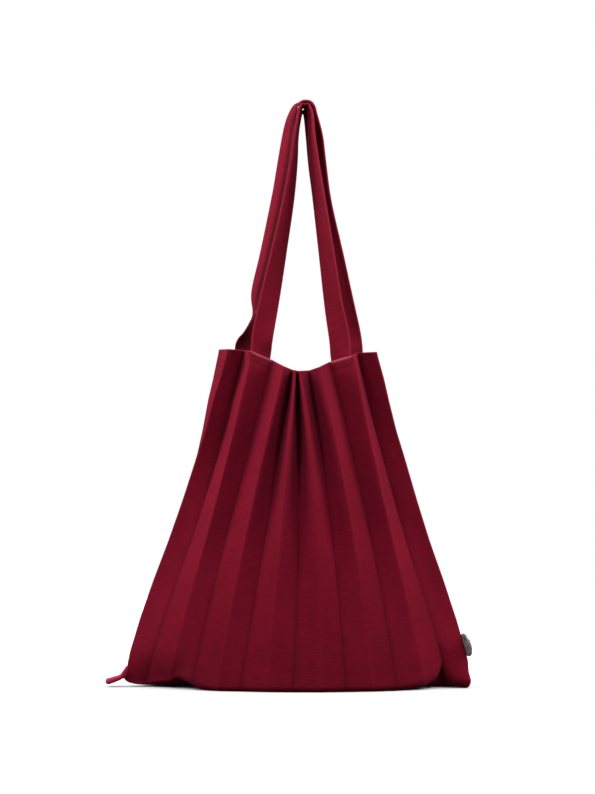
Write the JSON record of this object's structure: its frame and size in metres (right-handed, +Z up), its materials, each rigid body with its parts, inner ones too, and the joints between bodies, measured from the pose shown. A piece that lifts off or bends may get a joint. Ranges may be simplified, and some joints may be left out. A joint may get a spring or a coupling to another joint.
{
  "type": "pleated knit shoulder bag",
  "caption": "Soft accordion-pleated knit tote, narrow at the open rim and wide at the base, hung by flat strap handles, with a button and loop to close it rolled up.",
  "frame": {"origin": "under the top of the handles, where the peg that the bag hangs on touches them", "axes": "+X to the right of the front, +Y to the back, +Z up along the way it hangs"},
  "size_m": [0.3649, 0.1003, 0.5846],
  "materials": {
    "body_knit": "fine matt knit, wine red, with sharp pressed pleats",
    "strap_knit": "double knitted strap, wine red",
    "loop_knit": "narrow knitted tube, wine red",
    "button_horn": "polished dark grey with lighter mottling",
    "sewing_thread": "wine red sewing thread"
  },
  "bodies": {
    "root": {"bag_body": "body_knit", "front_handle": "strap_knit", "back_handle": "strap_knit", "button_loop": "loop_knit", "button": "button_horn", "button_thread": "sewing_thread"}
  },
  "joints": []
}
